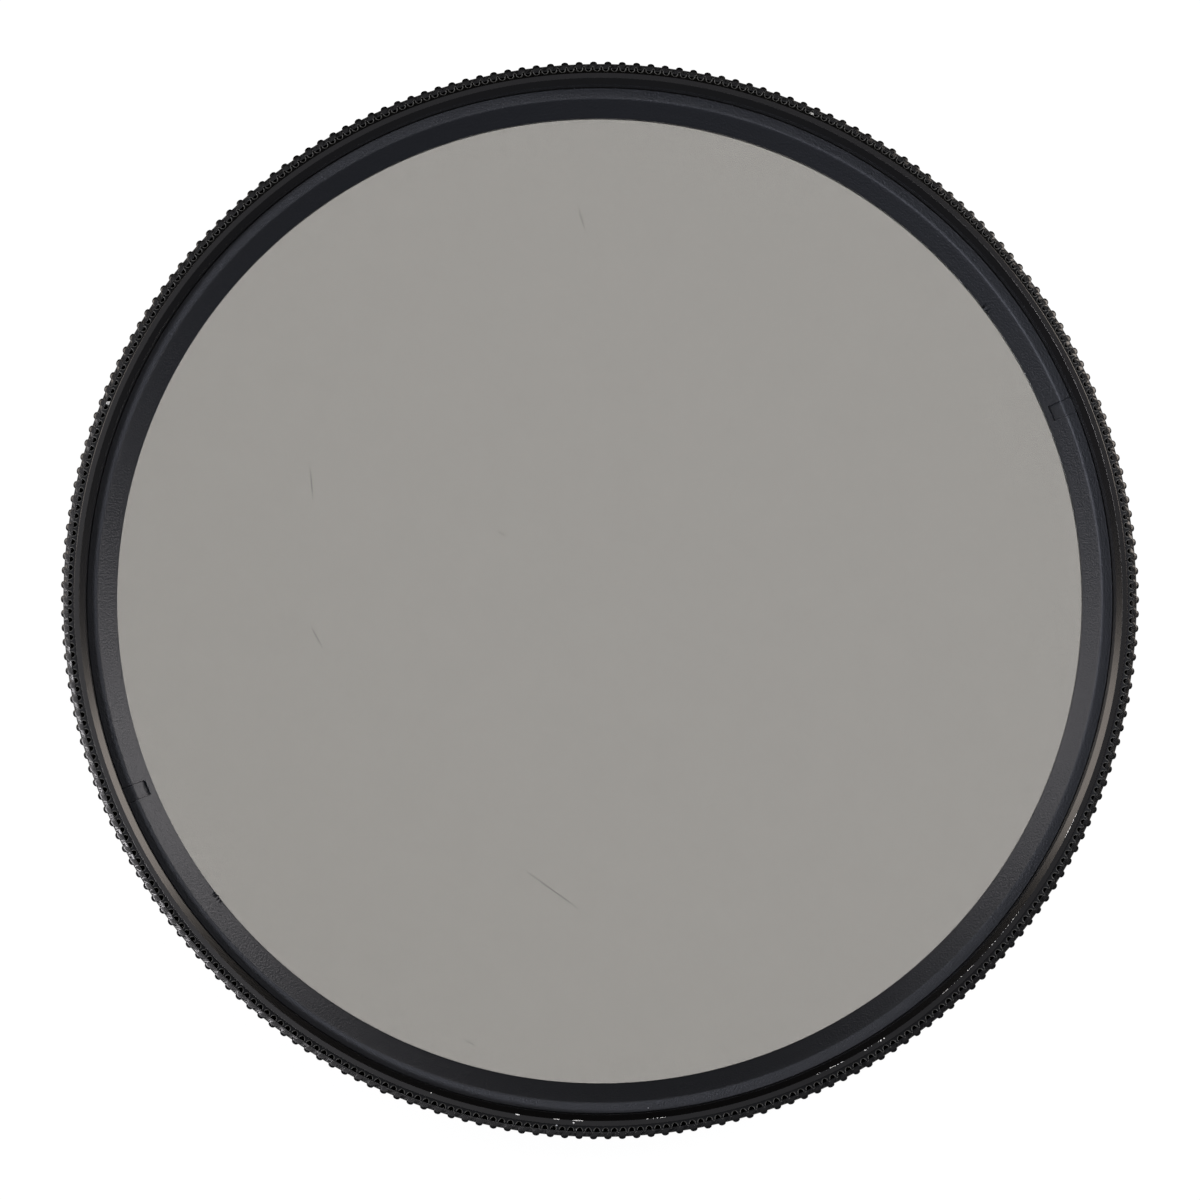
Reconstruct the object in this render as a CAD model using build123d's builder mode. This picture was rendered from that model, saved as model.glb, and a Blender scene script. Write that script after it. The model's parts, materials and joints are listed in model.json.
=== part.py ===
# Screw-in polarising lens filter, 72 mm: a threaded rear ring, a front ring that turns in it and
# carries the cemented glass, and the ring and the spring that hold them. Millimetres, +Z along
# the optical axis towards the subject, with the origin at the rear end of the lens thread.
import os
from math import cos, sin, tau

from build123d import *

# Lens thread at the rear and accessory thread at the front
thread_diameter = 72.0
thread_pitch = 0.75
inner_thread_share = 0.5413  # depth of an inner thread, in pitches
outer_thread_share = 0.6134  # depth of an outer thread, in pitches
thread_allowance = 0.05  # outer crest inside the nominal radius
lens_thread_length = 2.2
lens_thread_wall = 0.65  # from the thread's root to the rear mouth

# Walls, outwards from the accessory thread
spigot_wall = 0.45
bearing_clearance = 0.05
rear_wall = 0.5

# Heights of the two rings
rear_grip_height = 4.1
floor_thickness = 0.45
ring_gap = 0.12
front_grip_height = 2.0
axial_clearance = 0.1

# Grip ribs on the rear ring and fine knurl on the front ring
rib_count = 234
rib_height = 0.34
rib_foot = 0.55
knurl_count = 384
knurl_depth = 0.48

# Glass seat and cemented pane
seat_thickness = 0.4
seat_setback = 0.1  # mouth of the seat outside the clear aperture
rear_glass_thickness = 0.65
film_thickness = 0.2
front_glass_thickness = 0.65
glass_clearance = 0.1
film_margin = 0.3

# Retaining ring
retainer_width = 2.1
retainer_thickness = 0.8
retainer_band_width = 0.76  # flat band beside the thread
retainer_land_drop = 0.27  # fall of the land from the band to the aperture
slot_count = 2
slot_angle = 22.5  # from +X to the first slot
slot_width = 1.1
slot_length = 1.65
slot_depth = 0.45

# Spring ring that keeps the front ring in the rear ring
spring_width = 0.45
spring_height = 0.4
spring_bite = 0.2  # how deep it sits in the rear ring's groove
spring_clearance = 0.06
spring_flange = 0.3  # edge of the front ring below the spring
spring_mouth = 12.0

# Radii worked out from the sizes above
thread_r = thread_diameter / 2
pocket_r = thread_r - inner_thread_share * thread_pitch  # pane and ring pass the thread
lens_thread_r = thread_r - thread_allowance
rear_mouth_r = lens_thread_r - outer_thread_share * thread_pitch - lens_thread_wall
spigot_r = thread_r + spigot_wall
rear_bore_r = spigot_r + bearing_clearance
grip_r = rear_bore_r + rear_wall
rib_r = grip_r + rib_height
knurl_root_r = grip_r - knurl_depth
aperture_r = pocket_r - retainer_width
retainer_crease_r = pocket_r - retainer_band_width
seat_r = aperture_r + seat_setback
glass_r = pocket_r - glass_clearance
film_r = glass_r - film_margin
spring_outer_r = rear_bore_r + spring_bite
spring_inner_r = spring_outer_r - spring_width
spring_groove_r = spigot_r - spring_width - spring_clearance

# Levels, from the rear end of the lens thread
shoulder_z = lens_thread_length
floor_z = shoulder_z + floor_thickness
rear_top_z = shoulder_z + rear_grip_height
head_z = rear_top_z + ring_gap
front_z = head_z + front_grip_height
spigot_z = floor_z + axial_clearance
rear_glass_z = spigot_z + seat_thickness
film_z = rear_glass_z + rear_glass_thickness
front_glass_z = film_z + film_thickness
retainer_z = front_glass_z + front_glass_thickness
retainer_top_z = retainer_z + retainer_thickness
spring_z = spigot_z + spring_flange + spring_clearance
spring_top_z = spring_z + spring_height
groove_z = spring_z - spring_clearance
groove_top_z = spring_top_z + spring_clearance


# Corners of a toothed circle, anticlockwise. A tooth is a list of its corners, each an angle from
# the middle of the tooth and a radius.
def toothed_circle(count, tooth):
    return [
        (radius * cos(tau * number / count + angle), radius * sin(tau * number / count + angle))
        for number in range(count)
        for angle, radius in tooth
    ]


rib_half_angle = rib_foot / grip_r / 2
rib = [(-rib_half_angle, grip_r), (0, rib_r), (rib_half_angle, grip_r)]
knurl_ridge = [(0, grip_r), (tau / knurl_count / 2, knurl_root_r)]

# Rear ring: ribbed body on the lens thread, bored for the front ring, with the spring's groove
# at the foot of the bore
with BuildPart() as rear_ring:
    with BuildSketch(Plane.XY.offset(shoulder_z)):
        Polygon(*toothed_circle(rib_count, rib), align=None)
        Circle(rear_mouth_r, mode=Mode.SUBTRACT)
    extrude(amount=rear_grip_height)
    with BuildSketch():
        Circle(lens_thread_r)
        Circle(rear_mouth_r, mode=Mode.SUBTRACT)
    extrude(amount=shoulder_z)
    with BuildSketch(Plane.XZ):
        with BuildLine():
            Polyline(
                (rear_mouth_r, floor_z),
                (spring_outer_r, floor_z),
                (spring_outer_r, groove_top_z),
                (rear_bore_r, groove_top_z),
                (rear_bore_r, rear_top_z),
                (rear_mouth_r, rear_top_z),
                close=True,
            )
        make_face()
    revolve(axis=Axis.Z, mode=Mode.SUBTRACT)

# Front ring: knurled head on a spigot that runs in the rear ring, bored for the accessory thread
# above the pocket of the pane and its retaining ring
with BuildPart() as front_ring:
    with BuildSketch(Plane.XZ):
        with BuildLine():
            Polyline(
                (seat_r, spigot_z),
                (spigot_r, spigot_z),
                (spigot_r, groove_z),
                (spring_groove_r, groove_z),
                (spring_groove_r, groove_top_z),
                (spigot_r, groove_top_z),
                (spigot_r, head_z),
                (thread_r, head_z),
                (thread_r, retainer_top_z),
                (pocket_r, retainer_top_z),
                (pocket_r, rear_glass_z),
                (seat_r, rear_glass_z),
                close=True,
            )
        make_face()
    revolve(axis=Axis.Z)
    with BuildSketch(Plane.XY.offset(head_z)):
        Polygon(*toothed_circle(knurl_count, knurl_ridge), align=None)
        Circle(thread_r, mode=Mode.SUBTRACT)
    extrude(amount=front_grip_height)

# Retaining ring: flat outer band, land that slopes down to the glass, and slots for a pin spanner
with BuildPart() as retaining_ring:
    with BuildSketch(Plane.XZ):
        with BuildLine():
            Polyline(
                (aperture_r, retainer_z),
                (pocket_r, retainer_z),
                (pocket_r, retainer_top_z),
                (retainer_crease_r, retainer_top_z),
                (aperture_r, retainer_top_z - retainer_land_drop),
                close=True,
            )
        make_face()
    revolve(axis=Axis.Z)
    with BuildSketch(Plane.XY.offset(retainer_top_z)):
        with PolarLocations(pocket_r, slot_count, start_angle=slot_angle):
            Rectangle(2 * slot_length, slot_width)
    extrude(amount=-slot_depth, mode=Mode.SUBTRACT)

# Cemented pane: the polarising film between two glasses
with BuildPart() as rear_glass:
    with BuildSketch(Plane.XY.offset(rear_glass_z)):
        Circle(glass_r)
    extrude(amount=rear_glass_thickness)

with BuildPart() as polarising_film:
    with BuildSketch(Plane.XY.offset(film_z)):
        Circle(film_r)
    extrude(amount=film_thickness)

with BuildPart() as front_glass:
    with BuildSketch(Plane.XY.offset(front_glass_z)):
        Circle(glass_r)
    extrude(amount=front_glass_thickness)

# Spring ring: flat wire, open at one place so that it can be squeezed into the front ring
with BuildPart() as spring_ring:
    with BuildSketch(Plane.XY.offset(spring_z)):
        Circle(spring_outer_r)
        Circle(spring_inner_r, mode=Mode.SUBTRACT)
        with Locations((0, spring_outer_r)):
            Rectangle(spring_mouth, spring_outer_r, mode=Mode.SUBTRACT)
    extrude(amount=spring_height)

os.makedirs("parts", exist_ok=True)
pieces = {
    "rear_ring": rear_ring,
    "front_ring": front_ring,
    "retaining_ring": retaining_ring,
    "rear_glass": rear_glass,
    "polarising_film": polarising_film,
    "front_glass": front_glass,
    "spring_ring": spring_ring,
}
for label, piece in pieces.items():
    piece.part.label = label
    export_step(piece.part, f"parts/{label}.step")
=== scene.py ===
import json
import math

import bmesh
import bpy
import numpy as np
from mathutils import Matrix, Vector


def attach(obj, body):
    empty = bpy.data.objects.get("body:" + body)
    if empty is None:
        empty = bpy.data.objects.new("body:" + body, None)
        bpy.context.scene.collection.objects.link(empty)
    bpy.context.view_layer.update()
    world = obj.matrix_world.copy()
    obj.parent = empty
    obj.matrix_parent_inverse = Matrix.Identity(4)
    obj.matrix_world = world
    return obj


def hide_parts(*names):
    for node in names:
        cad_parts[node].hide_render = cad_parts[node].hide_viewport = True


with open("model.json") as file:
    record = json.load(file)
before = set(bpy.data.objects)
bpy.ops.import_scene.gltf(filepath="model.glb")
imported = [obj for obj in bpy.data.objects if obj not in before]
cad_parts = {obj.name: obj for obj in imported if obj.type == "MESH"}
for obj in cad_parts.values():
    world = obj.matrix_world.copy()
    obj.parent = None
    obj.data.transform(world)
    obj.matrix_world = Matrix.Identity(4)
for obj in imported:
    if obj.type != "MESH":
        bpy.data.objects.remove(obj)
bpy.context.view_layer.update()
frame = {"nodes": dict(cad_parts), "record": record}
scene = bpy.context.scene
mm = 0.001
print("frame loaded:", len(frame["nodes"]), "solids")


# Sizes of a solid in millimetres: inner and outer radius, bottom and top
def reach(node):
    corners = np.array([v.co for v in frame["nodes"][node].data.vertices]) / mm
    radii = np.hypot(corners[:, 0], corners[:, 1])
    return radii.min(), radii.max(), corners[:, 2].min(), corners[:, 2].max()


rearMouth, ribTip, rearEnd, rearTop = reach("rear_ring")
seatMouth, gripRadius, spigotEnd, frontTop = reach("front_ring")
aperture, pocketRadius, retainerFoot, retainerTop = reach("retaining_ring")
springInner, springOuter, springFoot, springTop = reach("spring_ring")
glassRadius, rearGlassFoot, rearGlassTop = reach("rear_glass")[1:]
filmRadius = reach("polarising_film")[1]
frontGlassFoot, frontGlassTop = reach("front_glass")[2:]
mounts = {mount["name"]: mount["dims"] for mount in frame["record"]["mounts"]}
lensThreadRadius = mounts["lens_thread"]["r_mm"]
shoulder = mounts["lens_thread"]["length_mm"]
threadRoot = mounts["accessory_thread"]["r_mm"]
threadPitch = 0.75  # mm


# Colours are written as sRGB hex and go to the shaders as linear light
def toLinear(hexColour):
    parts = [int(hexColour[i : i + 2], 16) / 255 for i in (1, 3, 5)]
    return [p / 12.92 if p <= 0.04045 else ((p + 0.055) / 1.055) ** 2.4 for p in parts] + [1]


# One node: its settings by name, its inputs as plain values or as sockets to link
def addNode(tree, kind, inputs=None, **settings):
    node = tree.nodes.new(kind)
    for name, value in settings.items():
        setattr(node, name, value)
    for name, value in (inputs or {}).items():
        if isinstance(value, bpy.types.NodeSocket):
            tree.links.new(value, node.inputs[name])
        else:
            node.inputs[name].default_value = value
    return node


def newMaterial(name):
    material = bpy.data.materials.new(name)
    material.use_nodes = True
    material.node_tree.nodes.clear()
    return material, material.node_tree


# Mesh tools: everything here is a ring, so a mesh is a run of closed loops round the axis
meshing = {
    "mergeGap": 1e-4,  # mm, points closer than this become one
    "sharpAngle": 35.0,  # degrees between two faces, from which their edge stays sharp
}


def evenAngles(count):
    return np.arange(count) * math.tau / count


def loop(angles, radius, height):
    radius = np.broadcast_to(radius, angles.shape)
    height = np.broadcast_to(height, angles.shape)
    return np.stack([radius * np.cos(angles), radius * np.sin(angles), height], axis=1)


# Faces between two loops: quads where the counts are the same, else triangles that zip them up
def bridge(first, second):
    n, m = len(first), len(second)
    if n == m:
        return [(first[i], first[(i + 1) % n], second[(i + 1) % n], second[i]) for i in range(n)]
    faces = []
    i = j = 0
    while i < n or j < m:
        if j == m or (i < n and (i + 1) * m <= (j + 1) * n):
            faces.append((first[i], first[(i + 1) % n], second[j % m]))
            i += 1
        else:
            faces.append((first[i % n], second[(j + 1) % m], second[j]))
            j += 1
    return faces


def runOfLoops(loops):
    starts = np.cumsum([0] + [len(points) for points in loops])
    rows = [range(starts[k], starts[k + 1]) for k in range(len(loops))]
    faces = [face for k in range(len(rows) - 1) for face in bridge(rows[k], rows[k + 1])]
    return np.concatenate(loops), faces


# Helical thread from low to high. The profile lists (share of the pitch, share of the depth). The
# rows of points climb with the helix, so that its edges stay sharp, and both ends are cut level.
def threadRun(count, low, high, radiusAt, profile):
    angles = evenAngles(count)
    shares = np.array([share for share, depth in profile])
    depths = [depth for share, depth in profile]
    turns = np.arange(-1, math.ceil((high - low) / threadPitch) + 1)
    rise = (turns[:, None] + shares[None, :]).ravel() * threadPitch

    def points(height):
        phase = ((height - low) / threadPitch - angles[:, None] / math.tau) % 1
        depth = np.interp(phase, np.append(shares, 1), depths + depths[:1])
        radius = radiusAt(height, depth)
        return np.stack(
            [radius * np.cos(angles)[:, None], radius * np.sin(angles)[:, None], height], axis=2
        )

    heights = np.clip(low + rise[None, :] + angles[:, None] / math.tau * threadPitch, low, high)
    rows = len(rise)
    faces = []
    for j in range(count):
        climb = len(shares) if j == count - 1 else 0
        here, there = j * rows, (j + 1) % count * rows + climb
        faces += [(here + i, there + i, there + i + 1, here + i + 1) for i in range(rows - 1 - climb)]
    ends = [points(np.full((count, 1), level))[:, 0] for level in (low, high)]
    return (points(heights).reshape(-1, 3), faces), ends[0], ends[1]


def makePiece(name, runs, materials, body, node):
    bm = bmesh.new()
    for points, faces in runs:
        corners = [bm.verts.new(point * mm) for point in points]
        for face in faces:
            bm.faces.new([corners[i] for i in face])
    bmesh.ops.remove_doubles(bm, verts=bm.verts, dist=meshing["mergeGap"] * mm)
    bmesh.ops.recalc_face_normals(bm, faces=bm.faces)
    openEdges = sum(len(edge.link_faces) != 2 for edge in bm.edges)
    mesh = bpy.data.meshes.new(name)
    bm.to_mesh(mesh)
    bm.free()
    mesh.shade_smooth()
    mesh.set_sharp_from_angle(angle=math.radians(meshing["sharpAngle"]))
    for material in materials:
        mesh.materials.append(material)
    piece = bpy.data.objects.new(name, mesh)
    scene.collection.objects.link(piece)
    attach(piece, body)
    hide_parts(node)
    print(name, "made:", len(mesh.polygons), "faces,", openEdges, "open edges")
    return piece


# Black anodised aluminium, turned: a dyed oxide skin with the tool's fine concentric marks, which
# spread a lamp's light across the ring, so that the sides fan out brighter than top and bottom
turnedSkin = {
    "dark": "#07080a",
    "light": "#101114",
    "roughness": 0.37,
    "mirrorTint": "#eef1fa",  # of its reflections
    "anisotropy": 0.2,
    "feed": 0.12,  # mm between tool marks, drawn about twice as coarse as they are
    "markDepth": 0.002,  # mm
    "grain": 0.13,  # mm, mottling of the oxide
    "grainDepth": 0.017,  # mm
    "speckCell": 1.6,  # mm, at most one bright speck in each
    "speckRadius": 0.05,  # mm
    "speckShare": 0.06,
    "speckColour": "#8f9096",
    # painted highlight on the crease, lighter than the oxide, along one arc
    "rubColour": "#2b2c30",
    "rubRadius": 34.834,  # mm, the crease between band and land
    "rubWidth": 0.18,  # mm to each side
    "rubMiddle": 30.0,  # degrees from +X, middle of the arc of painted highlight
    "rubHalf": 58.0,  # degrees to each side
}


def turnedAnodised():
    material, tree = newMaterial("black anodised aluminium, turned")
    place = addNode(tree, "ShaderNodeTexCoord").outputs["Object"]
    flat = addNode(tree, "ShaderNodeVectorMath", {0: place, 1: (1, 1, 0)}, operation="MULTIPLY")
    radius = addNode(tree, "ShaderNodeVectorMath", {0: flat.outputs[0]}, operation="LENGTH")
    marks = addNode(
        tree,
        "ShaderNodeTexNoise",
        {"W": radius.outputs["Value"], "Scale": 1 / (turnedSkin["feed"] * mm), "Detail": 2},
        noise_dimensions="1D",
    )
    grain = addNode(
        tree,
        "ShaderNodeTexNoise",
        {"Vector": place, "Scale": 1 / (turnedSkin["grain"] * mm), "Detail": 3},
    )
    cells = addNode(
        tree, "ShaderNodeTexVoronoi", {"Vector": place, "Scale": 1 / (turnedSkin["speckCell"] * mm)}
    )
    near = addNode(
        tree,
        "ShaderNodeMath",
        {0: cells.outputs["Distance"], 1: turnedSkin["speckRadius"] / turnedSkin["speckCell"]},
        operation="LESS_THAN",
    )
    chosen = addNode(
        tree,
        "ShaderNodeMath",
        {0: cells.outputs["Color"], 1: turnedSkin["speckShare"]},
        operation="LESS_THAN",
    )
    speck = addNode(
        tree, "ShaderNodeMath", {0: near.outputs[0], 1: chosen.outputs[0]}, operation="MULTIPLY"
    )
    mottled = addNode(
        tree,
        "ShaderNodeMix",
        {0: grain.outputs["Fac"], 6: toLinear(turnedSkin["dark"]), 7: toLinear(turnedSkin["light"])},
        data_type="RGBA",
    )

    # Painted highlight: the crease is painted lighter along one arc, where its rounded edge catches the
    # light, fading out at both ends
    middle = math.radians(turnedSkin["rubMiddle"])
    along = addNode(tree, "ShaderNodeVectorMath", {0: flat.outputs[0]}, operation="NORMALIZE")
    along = addNode(
        tree,
        "ShaderNodeVectorMath",
        {0: along.outputs[0], 1: (math.cos(middle), math.sin(middle), 0)},
        operation="DOT_PRODUCT",
    )
    along = addNode(
        tree,
        "ShaderNodeMapRange",
        {
            "Value": along.outputs["Value"],
            "From Min": math.cos(math.radians(turnedSkin["rubHalf"])),
            "From Max": 1,
        },
    )
    aside = addNode(
        tree,
        "ShaderNodeMath",
        {0: radius.outputs["Value"], 1: turnedSkin["rubRadius"] * mm},
        operation="SUBTRACT",
    )
    aside = addNode(tree, "ShaderNodeMath", {0: aside.outputs[0]}, operation="ABSOLUTE")
    aside = addNode(
        tree,
        "ShaderNodeMapRange",
        {"Value": aside.outputs[0], "From Min": turnedSkin["rubWidth"] * mm, "From Max": 0},
    )
    creaseHighlight = addNode(
        tree, "ShaderNodeMath", {0: along.outputs[0], 1: aside.outputs[0]}, operation="MULTIPLY"
    )
    highlightedCrease = addNode(
        tree,
        "ShaderNodeMix",
        {0: creaseHighlight.outputs[0], 6: mottled.outputs[2], 7: toLinear(turnedSkin["rubColour"])},
        data_type="RGBA",
    )
    colour = addNode(
        tree,
        "ShaderNodeMix",
        {0: speck.outputs[0], 6: highlightedCrease.outputs[2], 7: toLinear(turnedSkin["speckColour"])},
        data_type="RGBA",
    )
    rough = addNode(
        tree,
        "ShaderNodeBump",
        {"Height": grain.outputs["Fac"], "Distance": turnedSkin["grainDepth"] * mm, "Strength": 1},
    )
    bump = addNode(
        tree,
        "ShaderNodeBump",
        {
            "Height": marks.outputs["Fac"],
            "Distance": turnedSkin["markDepth"] * mm,
            "Strength": 1,
            "Normal": rough.outputs["Normal"],
        },
    )
    tangent = addNode(tree, "ShaderNodeTangent", direction_type="RADIAL", axis="Z")
    skin = addNode(
        tree,
        "ShaderNodeBsdfPrincipled",
        {
            "Base Color": colour.outputs[2],
            "Roughness": turnedSkin["roughness"],
            "Specular Tint": toLinear(turnedSkin["mirrorTint"]),
            "Anisotropic": turnedSkin["anisotropy"],
            "Anisotropic Rotation": 0.25,  # light spreads across the marks
            "Tangent": tangent.outputs["Tangent"],
            "Normal": bump.outputs["Normal"],
        },
    )
    addNode(tree, "ShaderNodeOutputMaterial", {"Surface": skin.outputs["BSDF"]})
    return material


# Black anodised aluminium, knurled: the same skin over rolled ribs and grooves, a little browner
# from handling, with bare silvery metal where knocks have gone through it
gripSkin = {
    "dark": "#020202",
    "light": "#070605",
    "bare": "#e9e9e6",
    "roughness": 0.21,
    "mirrorTint": "#fffaf5",  # of its reflections
    "bareRoughness": 0.55,
    "grain": 0.25,  # mm
    "chipGrain": 0.12,  # mm, ragged edge of a chip
}


def gripAnodised():
    material, tree = newMaterial("black anodised aluminium, knurled")
    place = addNode(tree, "ShaderNodeTexCoord").outputs["Object"]
    grain = addNode(
        tree,
        "ShaderNodeTexNoise",
        {"Vector": place, "Scale": 1 / (gripSkin["grain"] * mm), "Detail": 3},
    )
    ragged = addNode(
        tree,
        "ShaderNodeTexNoise",
        {"Vector": place, "Scale": 1 / (gripSkin["chipGrain"] * mm), "Detail": 2},
    )
    knocks = addNode(tree, "ShaderNodeAttribute", attribute_name="bareMetal")
    chipped = addNode(
        tree,
        "ShaderNodeMath",
        {0: knocks.outputs["Fac"], 1: ragged.outputs["Fac"]},
        operation="GREATER_THAN",
    )
    mottled = addNode(
        tree,
        "ShaderNodeMix",
        {0: grain.outputs["Fac"], 6: toLinear(gripSkin["dark"]), 7: toLinear(gripSkin["light"])},
        data_type="RGBA",
    )
    colour = addNode(
        tree,
        "ShaderNodeMix",
        {0: chipped.outputs[0], 6: mottled.outputs[2], 7: toLinear(gripSkin["bare"])},
        data_type="RGBA",
    )
    roughness = addNode(
        tree,
        "ShaderNodeMix",
        {0: chipped.outputs[0], 2: gripSkin["roughness"], 3: gripSkin["bareRoughness"]},
    )
    skin = addNode(
        tree,
        "ShaderNodeBsdfPrincipled",
        {
            "Base Color": colour.outputs[2],
            "Metallic": chipped.outputs[0],
            "Roughness": roughness.outputs[0],
            "Specular Tint": toLinear(gripSkin["mirrorTint"]),
        },
    )
    addNode(tree, "ShaderNodeOutputMaterial", {"Surface": skin.outputs["BSDF"]})
    return material


# Crown glass, polished: clear, with the faint mirror of a flat optical face and the hairline
# scratches of use, which look darker than the glass round them
paneGlass = {
    "ior": 1.52,
    "tint": "#ffffff",
    "polish": 0.0,  # roughness
    "scratchTint": "#c4c4c4",
    "scratchWidth": 0.06,  # mm to each side, at the middle
    "scratchGrain": 0.5,  # mm, where it breaks off
    "scratches": (  # x and y of both ends, mm
        (-5.7, -18.4, -0.8, -21.9),
        (-20.2, 9.6, -19.9, 6.6),
        (-20.2, -1.6, -19.2, -3.4),
        (-7.2, 4.9, -6.4, 4.4),
        (-1.6, 27.6, -0.9, 25.4),
        (-9.4, -30.5, -8.6, -30.9),
    ),
}


def polishedGlass():
    material, tree = newMaterial("crown glass, polished")
    place = addNode(tree, "ShaderNodeTexCoord").outputs["Object"]
    broken = addNode(
        tree,
        "ShaderNodeTexNoise",
        {"Vector": place, "Scale": 1 / (paneGlass["scratchGrain"] * mm), "Detail": 2},
    )
    scratched = 0.0
    for x0, y0, x1, y1 in paneGlass["scratches"]:
        span = addNode(
            tree,
            "ShaderNodeMapping",
            {
                "Vector": place,
                "Location": ((x0 + x1) / 2 * mm, (y0 + y1) / 2 * mm, 0),
                "Rotation": (0, 0, math.atan2(y1 - y0, x1 - x0)),
                "Scale": (math.hypot(x1 - x0, y1 - y0) / 2 * mm, paneGlass["scratchWidth"] * mm, 1),
            },
            vector_type="TEXTURE",
        )
        line = addNode(
            tree, "ShaderNodeTexGradient", {"Vector": span.outputs[0]}, gradient_type="SPHERICAL"
        )
        scratched = addNode(
            tree, "ShaderNodeMath", {0: scratched, 1: line.outputs["Fac"]}, operation="MAXIMUM"
        ).outputs[0]
    scratched = addNode(
        tree, "ShaderNodeMath", {0: scratched, 1: broken.outputs["Fac"]}, operation="MULTIPLY"
    ).outputs[0]
    tint = addNode(
        tree,
        "ShaderNodeMix",
        {0: scratched, 6: toLinear(paneGlass["tint"]), 7: toLinear(paneGlass["scratchTint"])},
        data_type="RGBA",
    )
    clear = addNode(tree, "ShaderNodeBsdfTransparent", {"Color": tint.outputs[2]})
    mirror = addNode(tree, "ShaderNodeBsdfGlossy", {"Roughness": paneGlass["polish"]})
    # Light isn't bent here, so the index is turned round where it leaves the glass (its power is 1
    # going in and -1 coming out). Otherwise the mirror would be total at a slant.
    leaving = addNode(tree, "ShaderNodeNewGeometry").outputs["Backfacing"]
    power = addNode(tree, "ShaderNodeMath", {0: leaving, 1: -2, 2: 1}, operation="MULTIPLY_ADD")
    index = addNode(
        tree, "ShaderNodeMath", {0: paneGlass["ior"], 1: power.outputs[0]}, operation="POWER"
    )
    fresnel = addNode(tree, "ShaderNodeFresnel", {"IOR": index.outputs[0]})
    face = addNode(
        tree, "ShaderNodeMixShader", {0: fresnel.outputs[0], 1: clear.outputs[0], 2: mirror.outputs[0]}
    )
    addNode(tree, "ShaderNodeOutputMaterial", {"Surface": face.outputs[0]})
    return material


# The face of a glass where it is cemented to the film: the cement has the glass's index, so
# nothing shows there
def cementedGlass():
    material, tree = newMaterial("crown glass, cemented face")
    clear = addNode(tree, "ShaderNodeBsdfTransparent", {"Color": toLinear(paneGlass["tint"])})
    addNode(tree, "ShaderNodeOutputMaterial", {"Surface": clear.outputs[0]})
    return material


# Polarising foil, stretched and dyed: a neutral, slightly warm grey that lets about a third through
foil = {"tintOneFace": "#c9c7c4"}  # light passes two faces, so this colour counts twice


def dyedFoil():
    material, tree = newMaterial("polarising foil, dyed grey")
    clear = addNode(tree, "ShaderNodeBsdfTransparent", {"Color": toLinear(foil["tintOneFace"])})
    addNode(tree, "ShaderNodeOutputMaterial", {"Surface": clear.outputs[0]})
    return material


# Spring steel, drawn wire: plain bright grey with fine marks along the wire
wire = {"dark": "#8d8d8a", "light": "#b5b4b0", "roughness": 0.32, "marks": 0.05}  # marks in mm


def drawnSteel():
    material, tree = newMaterial("spring steel, drawn wire")
    place = addNode(tree, "ShaderNodeTexCoord").outputs["Object"]
    flat = addNode(tree, "ShaderNodeVectorMath", {0: place, 1: (1, 1, 0)}, operation="MULTIPLY")
    radius = addNode(tree, "ShaderNodeVectorMath", {0: flat.outputs[0]}, operation="LENGTH")
    marks = addNode(
        tree,
        "ShaderNodeTexNoise",
        {"W": radius.outputs["Value"], "Scale": 1 / (wire["marks"] * mm), "Detail": 2},
        noise_dimensions="1D",
    )
    colour = addNode(
        tree,
        "ShaderNodeMix",
        {0: marks.outputs["Fac"], 6: toLinear(wire["dark"]), 7: toLinear(wire["light"])},
        data_type="RGBA",
    )
    steel = addNode(
        tree,
        "ShaderNodeBsdfPrincipled",
        {"Base Color": colour.outputs[2], "Metallic": 1, "Roughness": wire["roughness"]},
    )
    addNode(tree, "ShaderNodeOutputMaterial", {"Surface": steel.outputs["BSDF"]})
    return material


turned = turnedAnodised()
grip = gripAnodised()
polished = polishedGlass()
cemented = cementedGlass()
film = dyedFoil()
steel = drawnSteel()
print("materials made")


# Rear ring: half-round grip ribs with rounded ends, and the lens thread behind them. Sizes in mm
rearRing = {
    "ribCount": 234,
    "ribSteps": 11,  # points across a rib
    "domeSteps": 6,  # rows over its front end
    "footSteps": [0, 2, 3, 5],  # which of these rows its rear end has
    "ribWidth": 0.5,
    "ribHeight": 0.17,
    "ribDome": 0.06,  # length of the rounded front end
    "ribFoot": 0.2,  # and of the rear end
    "edgeBreak": 0.06,
    "boreLead": 0.32,  # lead-in of the bore, for the spring
    "wall": 0.5,
    "floor": 0.45,
    "grooveOverSpring": 0.06,
    "threadDepth": 0.6134 * threadPitch,  # as outer threads have
    "threadLead": 0.5,
    "threadRelief": 0.35,
    "threadShape": [(0, 0.1), (0.03, 0), (0.125, 0), (0.155, 0.1), (0.44, 1), (0.69, 1)],
    "plainCount": 480,  # points round a plain edge
}


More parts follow.
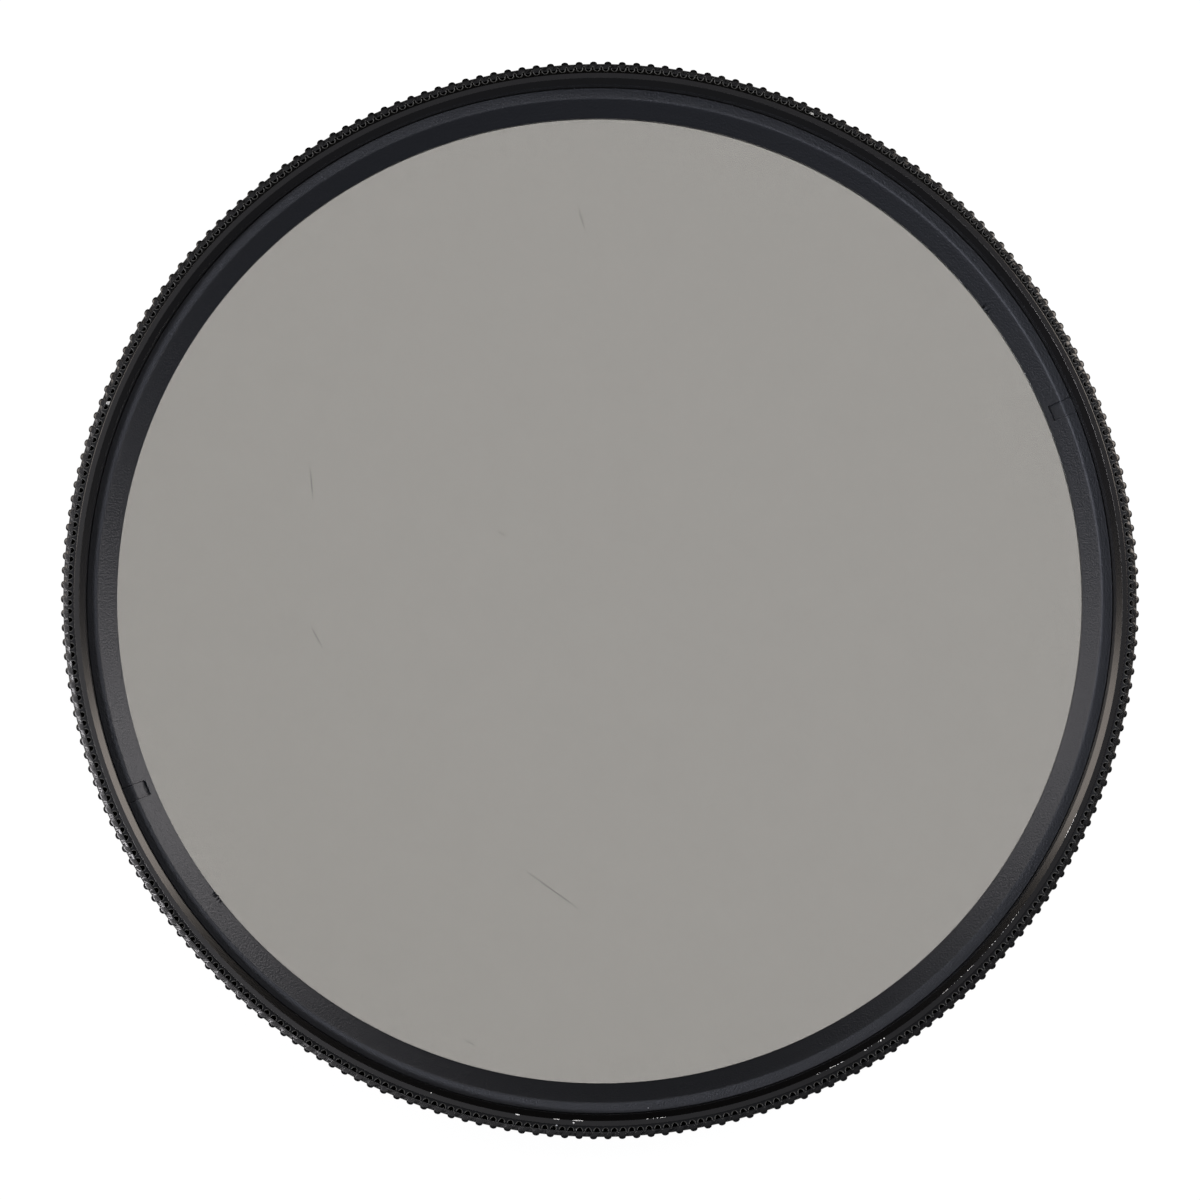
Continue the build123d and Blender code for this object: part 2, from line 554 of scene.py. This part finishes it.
def makeRearRing():
    s = rearRing
    plain = evenAngles(s["plainCount"])
    barrel = ribTip - s["ribHeight"]
    swing = np.linspace(-math.pi / 2, math.pi / 2, s["ribSteps"])
    step = math.tau / s["ribCount"]
    offsets = np.append(s["ribWidth"] / 2 * np.sin(swing) / barrel, step / 2)
    lift = np.append(s["ribHeight"] * np.cos(swing), 0)
    ribbed = (np.arange(s["ribCount"])[:, None] * step + offsets[None, :]).ravel()
    lift = np.tile(lift, s["ribCount"])

    def ribRow(height):
        fromTop, fromFoot = rearTop - height, height - shoulder
        dome = min(fromTop / s["ribDome"], fromFoot / s["ribFoot"], 1)
        broken = max(s["edgeBreak"] - min(fromTop, fromFoot), 0)
        return loop(ribbed, barrel - broken + lift * math.sqrt(1 - (1 - dome) ** 2), height)

    bow = 1 - np.cos(np.linspace(0, math.pi / 2, s["domeSteps"]))
    ribRows = [ribRow(shoulder + share * s["ribFoot"]) for share in bow[s["footSteps"]]]
    ribRows += [ribRow(rearTop - share * s["ribDome"]) for share in bow[::-1]]

    threadFoot = lensThreadRadius - s["threadLead"]
    threadRoom = shoulder - s["threadRelief"]

    def threadRadius(height, depth):
        chamfer = threadFoot + height - rearEnd
        return np.minimum(lensThreadRadius - depth * s["threadDepth"], chamfer)

    thread, low, high = threadRun(
        s["plainCount"], rearEnd, threadRoom, threadRadius, s["threadShape"]
    )
    relief = lensThreadRadius - s["threadDepth"] - s["edgeBreak"] / 2
    bore = gripRadius - s["wall"]
    floorTop = shoulder + s["floor"]
    grooveTop = springTop + s["grooveOverSpring"]
    cut = s["edgeBreak"]
    run = [
        high,
        loop(plain, relief, threadRoom),
        loop(plain, relief, shoulder),
        loop(plain, bore, shoulder),
        *ribRows,
        loop(plain, bore + s["boreLead"], rearTop),
        loop(plain, bore, rearTop - s["boreLead"]),
        loop(plain, bore, grooveTop),
        loop(plain, springOuter, grooveTop),
        loop(plain, springOuter, floorTop),
        loop(plain, rearMouth + cut, floorTop),
        loop(plain, rearMouth, floorTop - cut),
        loop(plain, rearMouth, rearEnd + cut),
        loop(plain, rearMouth + cut, rearEnd),
        low,
    ]
    runs = [thread, runOfLoops(run)]
    return makePiece(
        "rear_ring_ribbed", runs, [grip], "rear_body", "rear_ring"
    )


makeRearRing()

# Front ring: fine knurl that runs out on a bevelled rim, and inside it a lead-in chamfer and the
# accessory thread. Sizes in mm
frontRing = {
    "knurlCount": 384,
    "knurlSteps": 8,  # points across a groove and its ridge
    "knurlInside": 0.14,  # crest of the knurl inside the rear ring's barrel
    "knurlDepth": 0.38,
    "grooveShare": 0.76,  # of the pitch
    "bevelWidth": 0.5,
    "bevelDrop": 0.345,
    "bevelSteps": 10,  # rows down the bevel
    "headFoot": 6.42,  # level of the knurled head's rear face
    "footBreak": 0.15,
    "footRows": (2, 1, 0.5, 0),  # rows above that face, in shares of the broken edge
    "edgeBreak": 0.05,
    "leadDrop": 0.207,
    "leadShares": (0.5, 0.8, 0.9, 0.96, 0.98),  # rows from the thread, 0, to the mouth, 1
    "rimShares": (0, 0.05, 0.1, 0.24, 0.5, 0.76, 0.94),  # rows from the mouth, 0, to the bevel, 1
    "threadFade": 0.35,
    "threadRelief": 0.4,
    "threadShape": [(0, 0), (0.25, 0), (0.55, 0.95), (0.58, 1), (0.67, 1), (0.7, 0.95)],
    "spigotWall": 0.45,
    "grooveRoom": 0.06,
    "seat": 0.4,
    "plainCount": 384,  # points round a plain edge
    "threadCount": 768,
    "rimCount": 1536,
}


def makeFrontRing():
    s = frontRing
    plain, rim = evenAngles(s["plainCount"]), evenAngles(s["rimCount"])
    knurl = evenAngles(s["knurlCount"] * s["knurlSteps"])
    share = knurl / math.tau * s["knurlCount"] % 1 - 0.5  # 0 in the middle of a groove
    groove = np.sqrt(np.maximum(1 - (2 * share / s["grooveShare"]) ** 2, 0))
    crest = gripRadius - s["knurlInside"]

    def knurlRow(height):
        fromTop, fromFoot = frontTop - height, height - s["headFoot"]
        down = min(fromTop / s["bevelDrop"], 1)
        ridge = crest - max(s["bevelWidth"] * (1 - down), s["footBreak"] - fromFoot, 0)
        return loop(knurl, np.minimum(ridge, crest - s["knurlDepth"] * groove), height)

    steps = s["bevelSteps"]
    bevelRows = [frontTop - s["bevelDrop"] * k / steps for k in range(steps + 2)]
    footRows = [s["headFoot"] + s["footBreak"] * k for k in s["footRows"]]
    rimOuter = crest - s["bevelWidth"]
    mouth = threadRoot
    leadFoot = frontTop - s["leadDrop"]
    cut = s["edgeBreak"]
    spigot = threadRoot + s["spigotWall"]
    springGroove = spigot - (springOuter - springInner) - s["grooveRoom"]
    grooveFoot, grooveTop = springFoot - s["grooveRoom"], springTop + s["grooveRoom"]
    threadFoot = retainerTop + s["threadRelief"]
    threadDepth = threadRoot - pocketRadius
    seatTop = spigotEnd + s["seat"]

    def threadRadius(height, depth):
        fade = np.clip((leadFoot - height) / s["threadFade"], 0, 1)
        return pocketRadius + depth * threadDepth * fade

    thread, low, high = threadRun(
        s["threadCount"], threadFoot, leadFoot, threadRadius, s["threadShape"]
    )
    fine = evenAngles(s["threadCount"])
    relief = threadRoot + cut / 3  # undercut behind the thread

    def leadRow(share):
        radius = pocketRadius + share * (mouth - pocketRadius)
        return loop(rim, radius, leadFoot + share * s["leadDrop"])

    def rimRow(share):
        return loop(rim, mouth + share * (rimOuter - mouth), frontTop)

    run = [
        high,
        *[leadRow(share) for share in s["leadShares"]],
        *[rimRow(share) for share in s["rimShares"]],
        *[knurlRow(height) for height in bevelRows + footRows],
        loop(plain, spigot, s["headFoot"]),
        loop(plain, spigot, grooveTop),
        loop(plain, springGroove, grooveTop),
        loop(plain, springGroove, grooveFoot),
        loop(plain, spigot, grooveFoot),
        loop(plain, spigot, spigotEnd + cut),
        loop(plain, spigot - cut, spigotEnd),
        loop(plain, seatMouth + cut, spigotEnd),
        loop(plain, seatMouth, spigotEnd + cut),
        loop(plain, seatMouth, seatTop - cut),
        loop(plain, seatMouth + cut, seatTop),
        loop(plain, pocketRadius, seatTop),
        loop(plain, pocketRadius, retainerTop),
        loop(plain, relief, retainerTop),
        loop(fine, relief, threadFoot),
        low,
    ]
    runs = [thread, runOfLoops(run)]
    return makePiece(
        "front_ring_knurled", runs, [grip], "front_body", "front_ring"
    )


# Knocks on the front rim: angle and half width in degrees anticlockwise from +X, inner and outer
# radius in millimetres, and how much of the patch is bare
rimKnocks = [
    (334.2, 1.6, 35.99, 36.02, 0.52),
    (317.5, 7.0, 35.99, 36.02, 0.42),
    (301.5, 1.4, 36.0, 36.16, 0.42),
    (296.0, 1.8, 35.99, 36.02, 0.47),
    (276.0, 1.2, 35.99, 36.02, 0.5),
    (267.4, 0.55, 35.99, 36.02, 0.9),
    (266.9, 0.13, 36.16, 36.26, 0.8),
    (267.4, 0.13, 36.6, 36.75, 0.7),
    (265.1, 0.26, 35.99, 36.02, 0.9),
    (265.1, 0.13, 36.4, 36.5, 0.9),
    (260.7, 0.2, 35.99, 36.07, 0.8),
    (251.0, 0.2, 35.99, 36.07, 0.7),
    (158.4, 0.2, 36.5, 36.75, 0.6),
    (66.5, 0.3, 36.5, 36.7, 0.55),
]


def markKnocks(piece):
    mesh = piece.data
    corners = np.empty(len(mesh.vertices) * 3)
    mesh.vertices.foreach_get("co", corners)
    x, y, z = corners.reshape(-1, 3).T / mm
    radius, angle = np.hypot(x, y), np.degrees(np.arctan2(y, x)) % 360
    bare = np.zeros(len(x))
    for middle, half, inner, outer, share in rimKnocks:
        hit = (np.abs(angle - middle) < half) & (radius > inner) & (radius < outer)
        hit &= z > frontTop - frontRing["bevelDrop"]
        bare[hit] = np.maximum(bare[hit], share)
    mesh.attributes.new("bareMetal", "FLOAT", "POINT").data.foreach_set("value", bare)
    print("rim knocks marked:", int((bare > 0).sum()), "points")


markKnocks(makeFrontRing())

# Retaining ring: flat band beside the thread, land that slopes down to the glass, two spanner slots
# and two places on the inner edge where a tool has slipped and left a small burr. Sizes in mm
retainingRing = {
    "evenCount": 900,  # points round it, before those of slots and burrs
    "fit": 0.02,  # room to the pocket's wall
    "bandWidth": 0.76,
    "landDrop": 0.53,
    "creaseRound": 0.08,
    "outerBreak": 0.03,
    "edgeBreak": 0.04,
    "slotAngles": (22.5, 202.5),  # degrees
    "slotWidth": 1.1,
    "slotLength": 1.65,
    "slotDepth": 0.36,  # the floor follows the top face
    "slotEdge": 0.03,
    "slotShifts": (-0.5, 0.5, 1.5),  # points beside a slot's side, in widths of its edge
    "burrs": ((37.0, 0.9), (217.8, 0.8)),  # degrees, and half length in degrees
    "burrReach": 0.13,
    "burrStep": 0.06,  # degrees
    "burrSmooth": (0.2, 0.6, 0.2),  # shares of neighbouring points
    "burrSeed": 7,
}


def makeRetainingRing():
    s = retainingRing
    outer = pocketRadius - s["fit"]
    crease = pocketRadius - s["bandWidth"]
    slope = s["landDrop"] / (crease - aperture)
    slotEnd = pocketRadius - s["slotLength"]
    slotMiddle = (slotEnd + pocketRadius) / 2
    halfSlot = math.degrees(s["slotWidth"] / 2 / slotMiddle)
    edge = math.degrees(s["slotEdge"] / slotMiddle)

    degrees = np.arange(s["evenCount"]) * 360 / s["evenCount"]
    for middle in s["slotAngles"]:
        degrees = degrees[np.abs(np.abs(degrees - middle) - halfSlot) > 2 * edge]
        beside = [halfSlot + shift * edge for shift in s["slotShifts"]]
        sides = [middle + side * away for side in (-1, 1) for away in beside]
        degrees = np.append(degrees, sides)
    for middle, half in s["burrs"]:
        degrees = degrees[np.abs(degrees - middle) > half]
        degrees = np.append(degrees, np.arange(middle - half, middle + half, s["burrStep"]))
    degrees = np.sort(degrees % 360)
    angles = np.radians(degrees)
    inSlot = np.zeros(len(degrees), bool)
    for middle in s["slotAngles"]:
        inSlot |= np.abs(degrees - middle) < halfSlot

    def top(radius):
        past = crease - radius
        blend = min(max((past / s["creaseRound"] + 1) / 2, 0), 1)
        return retainerTop - slope * max(s["creaseRound"] * blend**2, past)

    def topRow(radius):
        height = np.full(len(angles), top(radius))
        if radius > slotEnd:
            height[inSlot] -= s["slotDepth"]
        return loop(angles, radius, height)

    # Along a burr the edge is pushed inwards in places and bitten away in others
    random = np.random.default_rng(s["burrSeed"])
    pushed = np.zeros(len(degrees))
    for middle, half in s["burrs"]:
        hit = np.abs(degrees - middle) < half
        swell = 1 - ((degrees[hit] - middle) / half) ** 2
        ragged = np.convolve(random.uniform(-1, 1, hit.sum()), s["burrSmooth"], "same")
        pushed[hit] = s["burrReach"] * swell * ragged
    burr, bite = np.maximum(pushed, 0), np.maximum(-pushed, 0)

    cut = s["edgeBreak"]
    lipOuter, lipInner = aperture + 7 * cut, aperture + 4 * cut  # rows beside the inner edge
    rounding = s["creaseRound"] * np.array([1, 0.5, 0, -0.5, -1])
    topRadii = [outer - s["outerBreak"], (outer + crease) / 2, *(crease + rounding)]
    topRadii += [(crease + slotEnd) / 2, slotEnd + s["slotEdge"], slotEnd - s["slotEdge"], lipOuter]
    outerWall = retainerTop - np.where(inSlot, s["slotDepth"], s["outerBreak"])
    lip = top(aperture)
    run = [
        loop(angles, aperture, retainerFoot),
        loop(angles, outer, retainerFoot),
        loop(angles, outer, outerWall),
        *[topRow(radius) for radius in topRadii],
        loop(angles, lipInner + bite / 3, top(lipInner) - bite / 2),
        loop(angles, aperture + cut / 4 - burr / 2 + bite, lip - bite + burr / 4),
        loop(angles, aperture - burr + bite, lip - cut - bite),
        loop(angles, aperture - burr / 2, (lip + retainerFoot) / 2),
        loop(angles, aperture, retainerFoot),
    ]
    runs = [runOfLoops(run)]
    return makePiece(
        "retaining_ring_slotted", runs, [turned], "front_body", "retaining_ring"
    )


makeRetainingRing()

# Pane: two glasses with ground edges and the foil cemented between them. Sizes in mm
pane = {
    "count": 256,  # points round its edge
    "edgeBreak": 0.1,
    "cement": 0.004,  # keeps the faces of foil and glass apart
    "flatFrom": 0.9,  # upward share of a face's normal, from which it is a flat face
}


def disc(radius, foot, top, edgeBreak):
    around = evenAngles(pane["count"])
    rows = [
        loop(around, radius - edgeBreak, foot),
        loop(around, radius, foot + edgeBreak),
        loop(around, radius, top - edgeBreak),
        loop(around, radius - edgeBreak, top),
    ]
    points, faces = runOfLoops(rows)
    last = len(points) - pane["count"]
    return points, faces + [tuple(range(pane["count"]))] + [tuple(range(last, len(points)))]


# The polished face looks out of the pane, and the others are cemented or hidden
def showPolished(piece, outward):
    for polygon in piece.data.polygons:
        polygon.material_index = 0 if polygon.normal.z * outward > pane["flatFrom"] else 1


def makePane():
    front = disc(glassRadius, frontGlassFoot, frontGlassTop, pane["edgeBreak"])
    rear = disc(glassRadius, rearGlassFoot, rearGlassTop, pane["edgeBreak"])
    cement = pane["cement"]
    between = disc(filmRadius, rearGlassTop + cement, frontGlassFoot - cement, cement)
    both = [polished, cemented]
    showPolished(makePiece("front_glass_pane", [front], both, "front_body", "front_glass"), 1)
    showPolished(makePiece("rear_glass_pane", [rear], both, "front_body", "rear_glass"), -1)
    makePiece("polarising_foil", [between], [film], "front_body", "polarising_film")


makePane()

spring = frame["nodes"]["spring_ring"].data
spring.materials.clear()
spring.materials.append(steel)
print("object dressed")

# Floor: white to the eye and in the reflections, and it keeps a soft shadow
floorPaper = {
    "size": 40.0,  # m
    "gap": 0.02,  # mm below the part
    "glow": 0.98,
    "shade": "#484848",
    "white": "#f0f0f0",
    "slope": 0.01,  # it glows more to one side, by this share
    "slopeTowards": 60.0,  # degrees from +X
}


def makeFloor():
    material, tree = newMaterial("white studio floor")
    rays = addNode(tree, "ShaderNodeLightPath").outputs
    seen = addNode(
        tree,
        "ShaderNodeMath",
        {0: rays["Is Camera Ray"], 1: rays["Is Glossy Ray"]},
        operation="MAXIMUM",
    )
    seen = addNode(
        tree,
        "ShaderNodeMath",
        {0: seen.outputs[0], 1: rays["Is Transmission Ray"]},
        operation="MAXIMUM",
    )
    shade = addNode(tree, "ShaderNodeBsdfDiffuse", {"Color": toLinear(floorPaper["shade"])})
    around = math.radians(floorPaper["slopeTowards"])
    slope = addNode(
        tree,
        "ShaderNodeVectorMath",
        {
            0: addNode(tree, "ShaderNodeTexCoord").outputs["Object"],
            1: (math.cos(around), math.sin(around), 0),
        },
        operation="DOT_PRODUCT",
    )
    brightness = addNode(
        tree,
        "ShaderNodeMapRange",
        {
            "Value": slope.outputs["Value"],
            "From Min": -ribTip * mm,
            "From Max": ribTip * mm,
            "To Min": floorPaper["glow"] * (1 - floorPaper["slope"]),
            "To Max": floorPaper["glow"] * (1 + floorPaper["slope"]),
        },
    )
    glow = addNode(tree, "ShaderNodeEmission", {"Strength": brightness.outputs[0]})
    both = addNode(tree, "ShaderNodeAddShader", {0: shade.outputs[0], 1: glow.outputs[0]})
    paper = addNode(tree, "ShaderNodeBsdfDiffuse", {"Color": toLinear(floorPaper["white"])})
    mixed = addNode(
        tree, "ShaderNodeMixShader", {0: seen.outputs[0], 1: paper.outputs[0], 2: both.outputs[0]}
    )
    addNode(tree, "ShaderNodeOutputMaterial", {"Surface": mixed.outputs[0]})
    half = floorPaper["size"] / 2
    mesh = bpy.data.meshes.new("floor")
    mesh.from_pydata(
        [(-half, -half, 0), (half, -half, 0), (half, half, 0), (-half, half, 0)], [], [(0, 1, 2, 3)]
    )
    mesh.materials.append(material)
    floor = bpy.data.objects.new("floor", mesh)
    floor.location.z = rearEnd * mm - floorPaper["gap"] * mm
    scene.collection.objects.link(floor)


# Room: dim and cool, darker towards the top of the picture, with a glow low down at both sides and a
# lit patch of ceiling
room = {
    "colour": "#e6edff",
    "near": 0.28,  # brightness towards the foot of the picture
    "far": 0.01,  # and towards its top
    "below": 0.8,  # below the horizon
    "horizon": 0.1,  # depth below it, as a share, where that is reached
    "sides": 0.4,  # brightness added low down at both sides
    "sidesEdge": 46.0,  # degrees from straight left or right, nothing left
    "sidesCore": 16.0,  # degrees from there, full brightness
    "ceiling": 0.5,  # brightness of the patch that the pane mirrors
    "ceilingLean": 6.0,  # degrees from straight above to its middle
    "ceilingTowards": 50.0,  # degrees from +X
    "ceilingCore": 0.5,  # degrees from its middle, full brightness
    "ceilingEdge": 9.0,  # degrees from its middle, nothing left
}


def makeWorld():
    world = bpy.data.worlds.new("studio")
    world.use_nodes = True
    tree = world.node_tree
    tree.nodes.clear()
    towards = addNode(tree, "ShaderNodeTexCoord").outputs["Generated"]
    parts = addNode(tree, "ShaderNodeSeparateXYZ", {0: towards})
    walls = addNode(
        tree,
        "ShaderNodeMapRange",
        {
            "Value": parts.outputs["Y"],
            "From Min": -1,
            "From Max": 1,
            "To Min": room["near"],
            "To Max": room["far"],
        },
    )
    below = addNode(
        tree,
        "ShaderNodeMapRange",
        {
            "Value": parts.outputs["Z"],
            "From Min": -room["horizon"],
            "From Max": 0,
            "To Min": room["below"],
            "To Max": 0,
        },
    )
    aside = addNode(tree, "ShaderNodeMath", {0: parts.outputs["X"]}, operation="ABSOLUTE")
    sides = addNode(
        tree,
        "ShaderNodeMapRange",
        {
            "Value": aside.outputs[0],
            "From Min": math.cos(math.radians(room["sidesEdge"])),
            "From Max": math.cos(math.radians(room["sidesCore"])),
            "To Min": 0,
            "To Max": room["sides"],
        },
        interpolation_type="SMOOTHSTEP",
    )
    walls = addNode(
        tree, "ShaderNodeMath", {0: walls.outputs[0], 1: sides.outputs[0]}, operation="ADD"
    )
    around, lean = math.radians(room["ceilingTowards"]), math.radians(room["ceilingLean"])
    middle = (math.cos(around) * math.sin(lean), math.sin(around) * math.sin(lean), math.cos(lean))
    away = addNode(tree, "ShaderNodeVectorMath", {0: towards, 1: middle}, operation="DOT_PRODUCT")
    patch = addNode(
        tree,
        "ShaderNodeMapRange",
        {
            "Value": away.outputs["Value"],
            "From Min": math.cos(math.radians(room["ceilingEdge"])),
            "From Max": math.cos(math.radians(room["ceilingCore"])),
            "To Min": 0,
            "To Max": room["ceiling"],
        },
        interpolation_type="SMOOTHSTEP",
    )
    above = addNode(
        tree, "ShaderNodeMath", {0: walls.outputs[0], 1: patch.outputs[0]}, operation="ADD"
    )
    level = addNode(
        tree, "ShaderNodeMath", {0: above.outputs[0], 1: below.outputs[0]}, operation="MAXIMUM"
    )
    light = addNode(
        tree,
        "ShaderNodeBackground",
        {"Color": toLinear(room["colour"]), "Strength": level.outputs[0]},
    )
    addNode(tree, "ShaderNodeOutputWorld", {"Surface": light.outputs[0]})
    scene.world = world


# Two soft boxes at the sides, both a little towards the top of the picture, and a small lamp high up
# on the left, which lights the flat faces and throws the shadow of the rim. Angles in degrees, azimuths
# from +X, sizes in m and power in W
warm, cool = "#fff8f2", "#f4f6ff"
softBoxes = {
    "left": {
        "azimuth": 160,
        "elevation": 52,
        "distance": 0.5,
        "size": (0.14, 0.24),
        "power": 0.62,
        "colour": warm,
    },
    "right": {
        "azimuth": 25,
        "elevation": 54,
        "distance": 0.5,
        "size": (0.14, 0.28),
        "power": 1.05,
        "colour": warm,
    },
    "high": {
        "azimuth": 200,
        "elevation": 76.2,
        "distance": 1.5,
        "size": (0.15, 0.15),
        "power": 4.5,
        "colour": cool,
    },
}


def makeLamps():
    for name, s in softBoxes.items():
        lamp = bpy.data.lights.new(name + "_soft_box", "AREA")
        lamp.shape = "RECTANGLE"
        lamp.size, lamp.size_y = s["size"]
        lamp.energy = s["power"]
        lamp.color = toLinear(s["colour"])[:3]
        box = bpy.data.objects.new(lamp.name, lamp)
        around, up = math.radians(s["azimuth"]), math.radians(s["elevation"])
        aside = math.cos(up)
        towards = Vector((math.cos(around) * aside, math.sin(around) * aside, math.sin(up)))
        box.location = towards * s["distance"]
        box.rotation_euler = towards.to_track_quat("Z", "Y").to_euler()
        scene.collection.objects.link(box)


# Camera nearly straight above, leaning a little to the lower left of the picture, as in the
# photograph
camera = {
    "distance": 600.0,  # mm, from the front rim
    "leanLeft": 1.25,  # degrees
    "leanDown": 1.85,  # degrees
    "pixelsPerMm": 14.495,
    "picture": 1200,  # pixels
    "rimCentre": (601.4, 598.4),  # pixel of the front rim's centre
    "sensorWidth": 36,  # mm
    "clip": (0.01, 20),  # m, nearest and farthest thing seen
}


def makeCamera():
    s = camera
    half = s["picture"] / 2
    aim = Vector(
        (
            (half - s["rimCentre"][0]) / s["pixelsPerMm"],
            (s["rimCentre"][1] - half) / s["pixelsPerMm"],
            frontTop,
        )
    )
    back = Vector((-math.tan(math.radians(s["leanLeft"])), -math.tan(math.radians(s["leanDown"])), 1))
    back.normalize()
    right = Vector((0, 1, 0)).cross(back).normalized()
    data = bpy.data.cameras.new("camera")
    data.sensor_width = s["sensorWidth"]
    data.lens = data.sensor_width * s["distance"] * s["pixelsPerMm"] / s["picture"]
    data.clip_start, data.clip_end = s["clip"]
    eye = bpy.data.objects.new("camera", data)
    turn = Matrix((right, back.cross(right), back)).transposed().to_4x4()
    eye.matrix_world = Matrix.Translation((aim + back * s["distance"]) * mm) @ turn
    scene.collection.objects.link(eye)
    scene.camera = eye


makeFloor()
makeWorld()
makeLamps()
makeCamera()
scene.view_settings.view_transform = "Standard"
print("studio set up")
